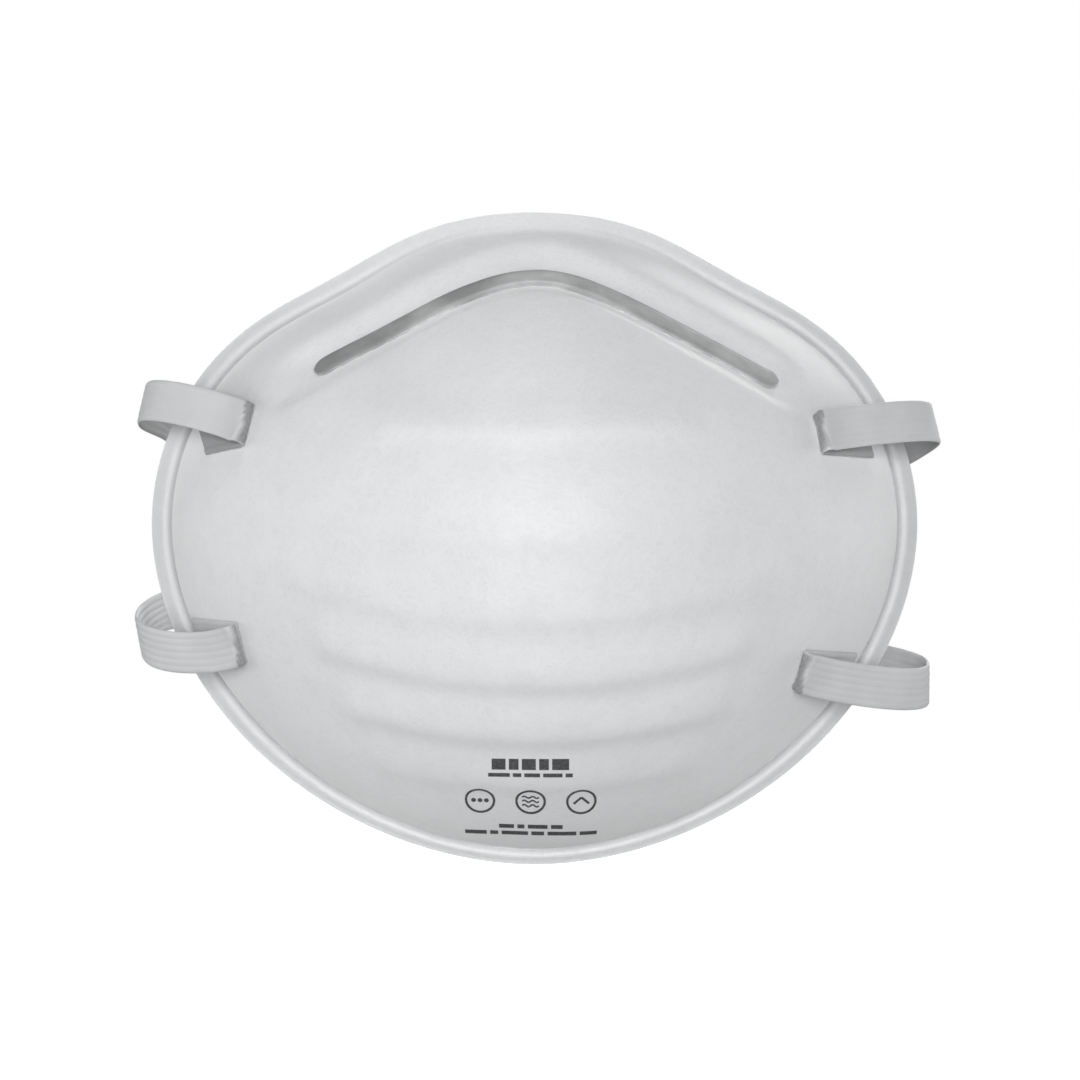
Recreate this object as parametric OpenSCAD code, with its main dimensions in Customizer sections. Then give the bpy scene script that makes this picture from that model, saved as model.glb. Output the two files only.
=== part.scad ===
// Disposable cup-shaped dust mask, in the worn position.
// +Z is up (the nose is at the top), -Y is the outer face, +Y is the wearer's side and X runs across.
// The origin is the centre of the rim that seals on the face.

/* [Mask body] */
// Width across the rim
mask_w = 141; // [130:1:152]
// Height across the rim
mask_h = 117.6; // [108:0.2:130]
// Depth of the cup in front of the rim
cup_depth = 50; // [42:1:58]
// How far the rim wraps back towards the cheeks
cheek_wrap = 6; // [0:0.5:9]
// Share of a true ellipse in the cup's side profile
cup_roundness = 0.5; // [0.4:0.05:0.65]

/* [Rim flange] */
// Width of the flat welded band round the rim
flange_w = 4; // [3:0.5:5]
// Height of the rounded bead along the middle of the band
bead_h = 1; // [0.5:0.1:1.5]

/* [Layers] */
// Thickness of the outer cover web
cover_t = 0.5; // [0.3:0.1:0.8]
// Thickness of the melt-blown filter web
filter_t = 0.7; // [0.4:0.1:1]
// Thickness of the stiff moulded support shell
support_t = 0.9; // [0.6:0.1:1.2]
// Thickness of the soft inner lining
lining_t = 0.4; // [0.2:0.1:0.6]

/* [Nose clip and foam] */
// Length of the nose clip from end to end across the mask
clip_span = 82; // [70:1:84]
// Width of the nose clip strip
clip_w = 5; // [4:0.5:6]
// Thickness of the nose clip strip
clip_t = 0.8; // [0.5:0.1:1.2]
// Length of the nose foam from end to end across the mask
foam_span = 82; // [60:1:86]
// Width of the nose foam strip
foam_w = 12; // [8:1:14]
// Thickness of the nose foam strip
foam_t = 3; // [2:0.5:4]

/* [Straps] */
// Width of the flat elastic
strap_w = 7.5; // [6:0.5:9]
// Thickness of the flat elastic
strap_t = 0.8; // [0.6:0.1:1]

/* [Hidden] */

half_w = mask_w / 2;
pole_z = 3;                     // height of the cup's front-most point above the rim's centre
top_r = mask_h / 2 - pole_z;
chin_r = mask_h / 2 + pole_z;
chin_power = 1.9;               // superellipse exponent of the chin half
shoulder_dip = 2.8;             // how far the rim is drawn in beside the nose
shoulder_at = 50;               // its angle above the horizontal
shoulder_spread = 17;
nose_spread = 36;               // angle to each side of the top over which the rim is shaped to the nose
nose_forward = 5;               // how far the rim stands forward there
nose_roll = 1.2;                // how much shallower the groove is
nose_narrower = 0.4;            // how much narrower the band is
nose_flat = 0.25;               // how much flatter the cup runs into it
nose_even = 0.9;                // share of the bead that is lost
groove_y = 1.2;                 // height of the groove between cup and flange above the rim's back face
edge_y = 0.9;                   // height of the cut edge
squeeze = 0.5;                  // share of the layers' thickness left where they are welded
lean = 0.2;                     // how much fuller the chin is than the nose

// Moulded stiffening ribs: crest, half length, relief and how far the ends turn up per mm squared.
ribs = [[18.2, 26, 0.85, 0.001],
        [0.2, 41, 0.25, 0.003],
        [-12.6, 41, 0.5, 0.0039],
        [-22.6, 36, 0.95, 0.0043],
        [-31.8, 32, 1, 0.0042],
        [-40.5, 27, 0.7, 0.004]];
rib_above = 4.6;                // each rib is long above its crest
rib_below = 2.2;                // and steep below it
rib_end = 5;                    // length over which a rib runs out

clip_z = 47.2;                  // height of the nose clip's line at the middle
clip_slope = 0.58;              // fall of its sides
clip_round = 10.6;              // rounding of its middle
clip_shift = 2;                 // how far to the right of the middle the strip is glued
seat_depth = 2.2;               // depth of the valley that the clip lies in
seat_half = 3.8;
seat_end = 48;
panel_bulge = 0.2;              // rise of the nose panel above the clip
panel_above = 5.6;
panel_half = 3.4;
foam_above = 3;                 // how far the foam's centre line lies above the clip's
glue_t = 0.25;
clip_lift = 0.75;               // clearance between the adhesive and the cover's facets
tape_t = 0.2;
tape_lift = 0.5;                // clearance between the tape and the lining's facets
foam_rise = 0.75;               // the foam's height as a share of its width, on the slope of the cup

around = 44;                    // facets round the mask
cup_rings = 15;
flange_rings = [0.2, 0.55, 1];  // shares of the flange's width
strip_steps = 20;

total_t = cover_t + filter_t + support_t + lining_t;

function ease(v) = let(c = min(1, max(0, v))) c * c * (3 - 2 * c);
function bump(v) = exp(-v * v);
function unit(v) = v / norm(v);

// Rim: distance of the cut edge from the pole at angle t.
function edge_r(t) =
    let(power = sin(t) < 0 ? chin_power : 2,
        half_h = sin(t) < 0 ? chin_r : top_r,
        oval = pow(pow(abs(cos(t)) / half_w, power) + pow(abs(sin(t)) / half_h, power), -1 / power),
        rise = asin(sin(t)))
    oval - shoulder_dip * bump((rise - shoulder_at) / shoulder_spread);

function nose(t) = bump((abs(t) % 360 - 90) / nose_spread) * (sin(t) > 0 ? 1 : 0);
function base_r(t) = edge_r(t) - flange_w + nose_narrower * nose(t);
function wrap(x) = cheek_wrap * pow(x / half_w, 2);

// Centre line of the nose clip, as a rounded chevron.
function clip_line(x) = clip_z - clip_slope * (sqrt(x * x + clip_round * clip_round) - clip_round);

// Relief pressed into the cup: ribs, the clip's valley and the nose panel.
function rib_relief(x, z) = [for (r = ribs)
    let(above = z - r[3] * x * x - r[0])
    r[2] * bump(above / (above > 0 ? rib_above : rib_below)) * ease((r[1] - abs(x)) / rib_end + 0.5)];
function total(list, i = 0) = i == len(list) ? 0 : list[i] + total(list, i + 1);
function nose_relief(x, z) =
    let(up = (z - clip_line(x)) * cos(atan(clip_slope)),
        ends = ease((seat_end - abs(x)) / 8))
    ends * (panel_bulge * bump((up - panel_above) / panel_half) - seat_depth * exp(-pow(up / seat_half, 4)));
function relief(x, z) = total(rib_relief(x, z)) + nose_relief(x, z);

// Outward direction of the cup at share s of the way from pole to base, angle t.
function out_dir(s, t) =
    unit([sin(90 * s) * cos(t) / base_r(t), -cos(90 * s) / cup_depth, sin(90 * s) * sin(t) / base_r(t)]);

// Point of the cup, d below its outer skin.
function cup_point(s, t, d) =
    let(r = sin(90 * s) * base_r(t),
        x = r * cos(t),
        z = pole_z + r * sin(t),
        fullness = cup_roundness - lean * sin(t) - nose_flat * nose(t) * pow(sin(90 * s), 4),
        base_y = groove_y + (nose_forward + nose_roll) * nose(t) * pow(sin(90 * s), 6),
        dome = cup_depth * (fullness * cos(90 * s) + (1 - fullness) * pow(cos(90 * s), 2)),
        shift = relief(x, z) * ease((1 - s) * 12) - d)
    [x, wrap(x) - base_y - dome, z] + shift * out_dir(s, t) + [0, s == 1 ? d * squeeze : 0, 0];

// Point of the flange, share f of the way from the groove to the cut edge.
function flange_point(f, t, d) =
    let(r = base_r(t) + f * (edge_r(t) - base_r(t)),
        x = r * cos(t),
        from = groove_y + (nose_forward + nose_roll) * nose(t),
        to = edge_y + nose_forward * nose(t),
        height = from + (to - from) * f + bead_h * (1 - nose_even * nose(t)) * pow(sin(180 * f), 2))
    [x, wrap(x) - height + d * squeeze, pole_z + r * sin(t)];

// All rings of one layer boundary, from the pole outwards.
function sheet_points(d) = concat([cup_point(0, 0, d)],
    [for (j = [1 : cup_rings], i = [0 : around - 1]) cup_point(j / cup_rings, 360 * i / around, d)],
    [for (f = flange_rings, i = [0 : around - 1]) flange_point(f, 360 * i / around, d)]);

// A closed shell between two depths below the skin.
module shell(d, t) {
    rings = cup_rings + len(flange_rings);
    count = 1 + rings * around;
    ring = function(j, i) 1 + j * around + i % around;
    last = rings - 1;
    front = concat(
        [for (i = [0 : around - 1]) [0, ring(0, i + 1), ring(0, i)]],
        [for (j = [0 : last - 1], i = [0 : around - 1]) [ring(j, i), ring(j, i + 1), ring(j + 1, i + 1)]],
        [for (j = [0 : last - 1], i = [0 : around - 1]) [ring(j, i), ring(j + 1, i + 1), ring(j + 1, i)]]);
    back = [for (f = front) [f[2] + count, f[1] + count, f[0] + count]];
    edge = concat(
        [for (i = [0 : around - 1]) [ring(last, i), ring(last, i + 1), ring(last, i + 1) + count]],
        [for (i = [0 : around - 1]) [ring(last, i), ring(last, i + 1) + count, ring(last, i) + count]]);
    polyhedron(concat(sheet_points(d), sheet_points(d + t)), concat(front, back, edge));
}

module outer_cover() {
    color("white") shell(0, cover_t);
}

module filter_media() {
    color("gainsboro") shell(cover_t, filter_t);
}

module support_shell() {
    color("whitesmoke") shell(cover_t + filter_t, support_t);
}

module inner_lining() {
    color("snow") shell(cover_t + filter_t + support_t, lining_t);
}

// Cup point and outward direction at a place given by x and z.
function share_at(x, z) =
    min(1, asin(min(1, norm([x, z - pole_z]) / base_r(atan2(z - pole_z, x)))) / 90);
function on_cup(x, z, d) = cup_point(share_at(x, z), atan2(z - pole_z, x), d);
function dir_at(x, z) = out_dir(share_at(x, z), atan2(z - pole_z, x));

// A closed solid lofted through equal rings of points.
module loft(sections) {
    n = len(sections[0]);
    last = len(sections) - 1;
    at = function(j, i) j * n + i % n;
    side = concat(
        [for (j = [0 : last - 1], i = [0 : n - 1]) [at(j, i), at(j, i + 1), at(j + 1, i + 1)]],
        [for (j = [0 : last - 1], i = [0 : n - 1]) [at(j, i), at(j + 1, i + 1), at(j + 1, i)]]);
    start = [for (i = [n - 1 : -1 : 0]) at(0, i)];
    end = [for (i = [0 : n - 1]) at(last, i)];
    polyhedron([for (s = sections, p = s) p], concat(side, [start, end]));
}

// Rectangular section of a strip lying on the clip's seat, from height low to high above the cup.
function seat_section(x, low, high, width) =
    let(z = clip_line(x),
        out = dir_at(x, z),
        along = unit(on_cup(x + 1, clip_line(x + 1), 0) - on_cup(x - 1, clip_line(x - 1), 0)),
        across = unit(cross(along, out)) * width / 2,
        p = on_cup(x, z, 0))
    [p + across + out * high, p - across + out * high, p - across + out * low, p + across + out * low];

// Strip along the seat, from the first to the last of the clip's stations.
module seat_strip(first, last, width, low, high) {
    loft([for (i = [first : last])
        seat_section(clip_shift + clip_span * (i / strip_steps - 0.5), low, high, width)]);
}

module nose_clip() {
    color("darkgray") seat_strip(0, strip_steps, clip_w, clip_lift + glue_t, clip_lift + glue_t + clip_t);
}

module clip_adhesive() {
    color("ivory") seat_strip(1, strip_steps - 1, clip_w - 2, clip_lift, clip_lift + glue_t);
}

// Section of a band that follows the lining's inner face between two depths. taper is its far side's width
// as a share of the near side's.
function inner_section(x, near, far, taper) =
    let(z = clip_line(x) + foam_above,
        half = foam_w / 2 * foam_rise * ease((foam_span / 2 - abs(x)) / 6 + 0.35),
        steps = [-1, -0.35, 0.35, 1])
    concat([for (q = steps) on_cup(x, z + q * half, near)],
           [for (i = [3 : -1 : 0]) on_cup(x, z + steps[i] * half * taper, far)]);

module inner_strip(near, far, taper) {
    loft([for (i = [0 : strip_steps]) inner_section(foam_span * (i / strip_steps - 0.5), near, far, taper)]);
}

module nose_foam() {
    near = total_t + tape_lift + tape_t;
    color("lightgray") inner_strip(near, near + foam_t, 0.9);
}

module foam_tape() {
    color("beige") inner_strip(total_t + tape_lift, total_t + tape_lift + tape_t, 1);
}

// Flat elastic swept along a path: side i has its width along hints[i], squared to the path.
function heading(path, i) = unit(path[min(len(path) - 1, i + 1)] - path[max(0, i - 1)]);
function square_to(v, t) = unit(v - (v * t) * t);
function band_section(p, t, hint) =
    let(wide = square_to(hint, t) * strap_w / 2,
        thick = cross(t, square_to(hint, t)) * strap_t / 2)
    [p + wide - thick, p - wide - thick, p - wide + thick, p + wide + thick];
module band(path, hints) {
    loft([for (i = [0 : len(path) - 1]) band_section(path[i], heading(path, i), hints[i])]);
}

// Smooth curve through hand-set points, with steps rings to each stretch.
function curve_at(a, b, c, d, u) =
    0.5 * (2 * b + (c - a) * u + (2 * a - 5 * b + 4 * c - d) * u * u + (3 * b - 3 * c + d - a) * u * u * u);
function smooth(path, steps) = let(last = len(path) - 1) concat(
    [for (i = [0 : last - 1], k = [0 : steps - 1])
        curve_at(path[max(0, i - 1)], path[i], path[i + 1], path[min(last, i + 2)], k / steps)],
    [path[last]]);

// Strap ends: each is welded flat on the cover, folded back over itself and led out over the rim.
fold_r = 1.1;                   // radius of the elastic's folded middle line
fold_gap = 0.45;                // clearance between the welded elastic and the cover's facets
fold_steps = 6;
leave = 10;                     // how far the band keeps straight after the fold
arrive = 14;                    // and before it turns back
free_steps = 8;
turn_y = 5;                     // depth at which the strap swings about the side of the rim
turn_x = 73;                    // how far out a strap end reaches, outside the loop's own lap
tab = 3;                        // length of the lap either side of the swing axis

// Point of a cubic curve from a to d that is drawn towards b and c.
function draw_curve(a, b, c, d, u) =
    pow(1 - u, 3) * a + 3 * pow(1 - u, 2) * u * b + 3 * (1 - u) * u * u * c + pow(u, 3) * d;

// Strap end on the +X side. fold, cut: [x, z] of the middle of the fold and of the cut end on the cup;
// lean: how far the crease leans outwards; rise: slope along the crease at which the band leaves the fold;
// turn_z: height at which the band turns back.
module strap_end(fold, cut, lean, rise, turn_z) {
    lift = strap_t / 2 + fold_gap;
    foot = function(x, z) on_cup(x, z, -lift);
    start = foot(fold[0], fold[1]);
    to_cut = foot(cut[0], cut[1]) - start;
    out = dir_at(fold[0], fold[1]);
    crease = unit([lean, -(lean * out[0] + out[2]) / out[1], 1]);
    side = unit(cross(crease, out));
    weld_slope = -(to_cut * crease) / (to_cut * side);
    slope = function(share) weld_slope + (rise - weld_slope) * share;
    weld = [for (i = [0 : 3]) let(p = cut + (fold - cut) * i / 4) foot(p[0], p[1])];
    weld_wide = unit(cross(out, to_cut));
    turned = [for (i = [0 : fold_steps]) i / fold_steps];
    bend = [for (v = turned) let(a = 180 * v)
        start + fold_r * ((1 - cos(a)) * out - sin(a) * side + slope(v / 2) * v * PI * crease)];
    bend_wide = [for (v = turned) let(a = 180 * v)
        unit(cross(-cos(a) * out - sin(a) * side, sin(a) * out - cos(a) * side + slope(v) * crease))];
    end = [turn_x, turn_y - tab, turn_z];
    from = bend[fold_steps];
    shares = [for (i = [1 : free_steps]) i / free_steps];
    free = [for (u = shares)
        draw_curve(from, from + leave * unit(side + rise * crease), end - [0, arrive, 0], end, u)];
    free_wide = [for (u = shares) bend_wide[fold_steps] * (1 - ease(u)) + [0, 0, 1] * ease(u)];
    band(concat(weld, bend, free, [end + [0, 2 * tab, 0]]),
        concat([for (p = weld) weld_wide], bend_wide, free_wide, [[0, 0, 1]]));
}

elastic = "lightgray";

module upper_strap_end_left() {
    color(elastic) mirror([1, 0, 0]) strap_end([49.2, 19.4], [57.6, 18.4], -0.17, 0.5, 24);
}

module upper_strap_end_right() {
    color(elastic) strap_end([48.8, 18.1], [58.6, 18.1], -0.09, 0.42, 21);
}

module lower_strap_end_left() {
    color(elastic) mirror([1, 0, 0]) strap_end([50.8, -17.4], [59.8, -16.2], 0.17, -0.45, -17.5);
}

module lower_strap_end_right() {
    color(elastic) strap_end([45.6, -22], [55.6, -21.4], 0.2, -0.43, -25.5);
}

// Routes of the two loops behind the mask, from the left side of the rim to the right.
upper_route = [[-70.7, 2, 24], [-70.7, 8, 23.6], [-70, 16, 22.8], [-66.5, 28, 19.5], [-59, 41, 15.8],
    [-48, 54, 12.6], [-33, 65, 10], [-17, 71.5, 8.5], [0, 74, 8], [17, 71.5, 8.2], [33, 65, 9], [48, 54, 10.5],
    [59, 41, 12.5], [66.5, 28, 15], [70, 16, 17.8], [70.7, 8, 19.6], [70.7, 2, 21]];
lower_route = [[-70.7, 2, -17.5], [-70.7, 8, -15.4], [-70, 16, -13.4], [-66.5, 28, -13.4], [-59, 41, -15.2],
    [-48, 54, -18], [-33, 65, -20.5], [-17, 71.5, -22.5], [0, 74, -23.5], [17, 71.5, -24], [33, 65, -24],
    [48, 54, -23.6], [59, 41, -23.4], [66.5, 28, -23.8], [70, 16, -24.4], [70.7, 8, -25], [70.7, 2, -25.5]];

module strap_loop(route) {
    path = smooth(route, 3);
    band(path, [for (p = path) [0, 0, 1]]);
}

module upper_strap() {
    color("silver") strap_loop(upper_route);
}

module lower_strap() {
    color("silver") strap_loop(lower_route);
}

outer_cover();
filter_media();
support_shell();
inner_lining();
nose_clip();
clip_adhesive();
nose_foam();
foam_tape();
upper_strap_end_left();
upper_strap_end_right();
lower_strap_end_left();
lower_strap_end_right();
upper_strap();
lower_strap();
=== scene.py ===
"""Disposable cup-shaped dust mask: the looks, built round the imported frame.

Shapes are worked out in millimetres in the row frame and turned into metres as meshes are made.
"""
import math

import bpy
import numpy as np
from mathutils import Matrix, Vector


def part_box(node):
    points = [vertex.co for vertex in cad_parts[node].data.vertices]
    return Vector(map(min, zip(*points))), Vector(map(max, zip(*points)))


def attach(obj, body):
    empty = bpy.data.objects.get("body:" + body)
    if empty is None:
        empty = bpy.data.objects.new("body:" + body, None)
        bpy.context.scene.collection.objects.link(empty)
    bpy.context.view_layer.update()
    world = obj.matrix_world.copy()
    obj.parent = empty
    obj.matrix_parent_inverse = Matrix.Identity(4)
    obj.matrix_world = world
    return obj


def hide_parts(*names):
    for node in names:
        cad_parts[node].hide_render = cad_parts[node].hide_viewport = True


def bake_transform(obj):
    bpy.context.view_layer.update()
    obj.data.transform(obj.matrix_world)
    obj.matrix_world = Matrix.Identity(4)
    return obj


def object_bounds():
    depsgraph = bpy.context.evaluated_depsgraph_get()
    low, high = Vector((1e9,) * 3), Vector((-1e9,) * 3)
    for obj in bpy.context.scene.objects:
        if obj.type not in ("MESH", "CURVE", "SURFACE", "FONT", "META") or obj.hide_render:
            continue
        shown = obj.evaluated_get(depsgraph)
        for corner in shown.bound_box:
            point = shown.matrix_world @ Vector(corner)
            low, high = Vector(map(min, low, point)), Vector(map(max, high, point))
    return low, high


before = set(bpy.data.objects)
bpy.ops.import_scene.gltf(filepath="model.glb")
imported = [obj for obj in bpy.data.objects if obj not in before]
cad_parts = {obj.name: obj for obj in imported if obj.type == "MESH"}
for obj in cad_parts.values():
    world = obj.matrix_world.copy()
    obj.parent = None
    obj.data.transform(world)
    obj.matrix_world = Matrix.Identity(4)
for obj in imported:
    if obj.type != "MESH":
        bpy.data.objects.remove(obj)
cad_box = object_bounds()

MM = 0.001
LOW, HIGH = (np.array(corner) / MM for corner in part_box("outer_cover"))

# ---------------------------------------------------------------- the mask's shape

HALF_W = HIGH[0]
POLE_Z = 3.0  # height of the cup's middle, from which its radii are measured
TOP_R = HIGH[2] - POLE_Z
CHIN_R = POLE_Z - LOW[2]
CHIN_POWER = 1.9  # 2 would be an ellipse, and less is more pointed
SHOULDER_DIP, SHOULDER_AT, SHOULDER_SPREAD = 2.8, 50.0, 17.0  # mm drawn in, then degrees up from the side
CUP_DEPTH = 50.0
CHEEK_WRAP = 6.0  # how far the sides of the rim lie behind its middle
ROUNDNESS, LEAN = 0.5, 0.2  # 1 would be a round dome and 0 a bell, and the chin is rounder than the nose
RELIEF_FADE = 12  # the relief fades over the last twelfth of the way to the rim
FLANGE_W, CHIN_NARROWER, CHIN_SPREAD = 4.0, 0.8, 42.0
GROOVE_Y, EDGE_Y, BEAD_H = 1.2, 0.9, 1.0  # heights of the groove, the cut edge and the bead between them
BEAD_PLACE = 0.85  # below 1 the bead's crest is nearer the groove than the edge
NOSE_SPREAD = 36.0  # degrees to each side over which the rim is shaped to the nose
NOSE_FORWARD, NOSE_ROLL, NOSE_NARROWER, NOSE_FLAT, NOSE_BEAD_LOSS = 5.0, 1.2, 0.4, 0.25, 0.9
NOSE_LIFT_POWER, NOSE_FLAT_POWER = 6, 4  # the higher, the nearer the rim the nose's shape begins
SQUEEZE = 0.5  # share of their thickness that the webs keep on the rim

COVER_T, FILTER_T, SUPPORT_T, LINING_T = 0.5, 0.7, 0.9, 0.4
WALL_T = COVER_T + FILTER_T + SUPPORT_T + LINING_T

# Moulded ribs: crest, half length, relief, and how far the ends turn up per mm squared.
RIBS = [
    (18.2, 26, 0.85, 0.001),
    (0.2, 41, 0.25, 0.003),
    (-12.6, 41, 0.5, 0.0039),
    (-22.6, 36, 0.95, 0.0043),
    (-31.8, 32, 1.0, 0.0042),
    (-40.5, 27, 0.7, 0.004),
]
RIB_ABOVE, RIB_BELOW, RIB_END = 4.6, 2.2, 5.0  # each rib is long above its crest and steep below it

CLIP_Z, CLIP_SLOPE, CLIP_ROUND = 47.2, 0.58, 10.6  # the peak's height, the arms' slope, the peak's roundness
CLIP_SPAN, CLIP_W, CLIP_SHIFT = 82.0, 5.0, 2.0
SEAT_DEPTH, SEAT_HALF, SEAT_END = 2.2, 3.8, 48.0  # the valley that the clip lies in
PANEL_BULGE, PANEL_ABOVE, PANEL_HALF = 0.2, 5.6, 3.4  # the swelling above it
CREASE_BELOW, CREASE_H, CREASE_HALF, CREASE_END = 4.3, 0.3, 0.55, 27.0  # the fine ridge below it
END_FADE = 8.0  # length over which the valley and the ridge run out at their ends

FOAM_SPAN, FOAM_W, FOAM_T, FOAM_ABOVE, FOAM_RISE = 82.0, 12.0, 3.0, 3.0, 0.75
FOAM_ROUND, FOAM_LEAST_END, FOAM_STEPS, FOAM_ACROSS = 5.0, 0.03, 180, 17
TAPE_T, TAPE_SUNK = 0.2, 0.05

UNEVEN_SEED = 7
UNEVEN_WAVES = [(60.0, 0.10, 6), (22.0, 0.045, 8), (9.0, 0.014, 10)]  # length mm, height mm, how many


def ease(v):
    c = np.clip(v, 0.0, 1.0)
    return c * c * (3 - 2 * c)


def bump(v):
    return np.exp(-np.square(v))


def unit(v):
    return v / np.linalg.norm(v, axis=-1, keepdims=True)


def near_angle(a, at, spread):
    """1 at that angle, in degrees, falling to 0 over about the spread."""
    away = (np.degrees(a) - at + 180) % 360 - 180
    return bump(away / spread)


def edge_r(a):
    """Distance of the cut edge from the pole."""
    chin = np.sin(a) < 0
    power = np.where(chin, CHIN_POWER, 2.0)
    half_h = np.where(chin, CHIN_R, TOP_R)
    oval = (np.abs(np.cos(a) / HALF_W) ** power + np.abs(np.sin(a) / half_h) ** power) ** (-1 / power)
    rise = np.degrees(np.arcsin(np.clip(np.sin(a), -1, 1)))
    return oval - SHOULDER_DIP * bump((rise - SHOULDER_AT) / SHOULDER_SPREAD)


def nose(a):
    return near_angle(a, 90, NOSE_SPREAD)


def flange_w(a):
    """The band is narrower at the chin and the nose."""
    return FLANGE_W - CHIN_NARROWER * near_angle(a, -90, CHIN_SPREAD) - NOSE_NARROWER * nose(a)


def base_r(a):
    return edge_r(a) - flange_w(a)


def wrap(x):
    return CHEEK_WRAP * (x / HALF_W) ** 2


def groove_y(a):
    """Height of the groove between cup and band. Over the nose the rim stands forward and it closes."""
    return GROOVE_Y + (NOSE_FORWARD + NOSE_ROLL) * nose(a)


def clip_line(x):
    return CLIP_Z - CLIP_SLOPE * (np.sqrt(x * x + CLIP_ROUND**2) - CLIP_ROUND)


random_waves = np.random.default_rng(UNEVEN_SEED)
WAVES = []
for length, height, count in UNEVEN_WAVES:
    for turn, phase in random_waves.uniform(0, 2 * math.pi, (count, 2)):
        k = 2 * math.pi / length
        WAVES.append((k * math.cos(turn), k * math.sin(turn), phase, height / math.sqrt(count)))


def uneven(x, z):
    """The slight unevenness of a pressed fibre web."""
    return sum(h * np.sin(kx * x + kz * z + phase) for kx, kz, phase, h in WAVES)


def relief(x, z):
    """What is pressed into the cup: ribs, the clip's valley, the swelling above and the ridge below."""
    ribs = 0.0
    for crest, half, h, turn in RIBS:
        above = z - turn * x * x - crest
        steepness = np.where(above > 0, RIB_ABOVE, RIB_BELOW)
        ribs += h * bump(above / steepness) * ease((half - np.abs(x)) / RIB_END + 0.5)
    up = (z - clip_line(x)) * math.cos(math.atan(CLIP_SLOPE))
    valley = SEAT_DEPTH * np.exp(-((up / SEAT_HALF) ** 4))
    seat = PANEL_BULGE * bump((up - PANEL_ABOVE) / PANEL_HALF) - valley
    crease = CREASE_H * bump((up + CREASE_BELOW) / CREASE_HALF) * ease((CREASE_END - np.abs(x)) / END_FADE)
    return ribs + seat * ease((SEAT_END - np.abs(x)) / END_FADE) + crease + uneven(x, z)


def out_dir(s, a):
    """Outward direction of the plain cup, s of the way from the pole to its base."""
    turn = s * math.pi / 2
    r = base_r(a)
    x, z = np.sin(turn) * np.cos(a) / r, np.sin(turn) * np.sin(a) / r
    return unit(np.stack([x, -np.cos(turn) / CUP_DEPTH, z], -1))


def cup(s, a, depth=0.0):
    """Point of the cup, depth below its outer skin."""
    s, a = np.broadcast_arrays(np.asarray(s, float), np.asarray(a, float))
    turn = s * math.pi / 2
    r = np.sin(turn) * base_r(a)
    x, z = r * np.cos(a), POLE_Z + r * np.sin(a)
    fullness = ROUNDNESS - LEAN * np.sin(a) - NOSE_FLAT * nose(a) * np.sin(turn) ** NOSE_FLAT_POWER
    dome = CUP_DEPTH * (fullness * np.cos(turn) + (1 - fullness) * np.cos(turn) ** 2)
    shift = relief(x, z) * ease((1 - s) * RELIEF_FADE) - depth
    base_y = GROOVE_Y + (groove_y(a) - GROOVE_Y) * np.sin(turn) ** NOSE_LIFT_POWER
    p = np.stack([x, wrap(x) - base_y - dome, z], -1) + shift[..., None] * out_dir(s, a)
    p[..., 1] += np.where(s >= 1, depth * SQUEEZE, 0)
    return p


def flange(f, a, depth=0.0):
    """Point of the rim's band, f of the way from the groove to the cut edge."""
    f, a = np.broadcast_arrays(np.asarray(f, float), np.asarray(a, float))
    r = base_r(a) + f * flange_w(a)
    x = r * np.cos(a)
    bead = BEAD_H * (1 - NOSE_BEAD_LOSS * nose(a)) * np.sin(math.pi * f**BEAD_PLACE) ** 2
    edge_y = EDGE_Y + NOSE_FORWARD * nose(a)
    height = groove_y(a) + (edge_y - groove_y(a)) * f + bead
    return np.stack([x, wrap(x) - height + depth * SQUEEZE, POLE_Z + r * np.sin(a)], -1)


def share_at(x, z):
    """(share of the way from pole to base, angle) at a place given by x and z."""
    a = np.arctan2(z - POLE_Z, x)
    return np.arcsin(np.minimum(1, np.hypot(x, z - POLE_Z) / base_r(a))) * 2 / math.pi, a


def on_cup(x, z, depth=0.0):
    return cup(*share_at(x, z), depth)


def normal_at(x, z):
    """The skin's true outward direction there."""
    step = 0.4
    across = on_cup(x + step, z) - on_cup(x - step, z)
    up = on_cup(x, z + step) - on_cup(x, z - step)
    return unit(np.cross(across, up))


# ---------------------------------------------------------------- mesh makers


def make_mesh(name, points, faces, body, material):
    """An object from points in millimetres, attached to its body where it has one."""
    mesh = bpy.data.meshes.new(name)
    mesh.from_pydata((np.asarray(points) * MM).tolist(), [], faces)
    mesh.polygons.foreach_set("use_smooth", [True] * len(mesh.polygons))
    mesh.update()
    obj = bpy.data.objects.new(name, mesh)
    bpy.context.scene.collection.objects.link(obj)
    mesh.materials.append(material)
    if body:
        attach(obj, body)
    return obj


def sharpen(obj, degrees):
    """Marks edges sharper than that as sharp, so that only real corners break the shading."""
    obj.data.set_sharp_from_angle(angle=math.radians(degrees))


def tag_one(obj, name, values):
    attribute = obj.data.attributes.new(name, "FLOAT", "POINT")
    attribute.data.foreach_set("value", np.asarray(values, np.float32))


def tag(obj, along, across):
    """Notes how far along and across a strip each vertex lies, for its material."""
    tag_one(obj, "along_mm", along)
    tag_one(obj, "across_mm", across)


def soften(rings, corner, before, after, times, share=1.0):
    """Rounds a corner of a profile: the rings beside it move towards the middle of their neighbours."""
    first, last = corner - before, corner + after
    soft = rings.copy()
    for _ in range(times):
        middle = (soft[first - 1 : last - 1] + soft[first + 1 : last + 1]) / 2
        soft[first:last] = (soft[first:last] + middle) / 2
    return rings + (soft - rings) * share


SIDE_FROM, SIDE_RINGS, BAND_RINGS = 0.9, 12, 12  # the cup's side begins at this share of the way to its base
GROOVE_SOFT, NOSE_SOFT = (3, 2, 5), (11, 9, 120)  # rings before and after the groove, and how many times


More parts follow.
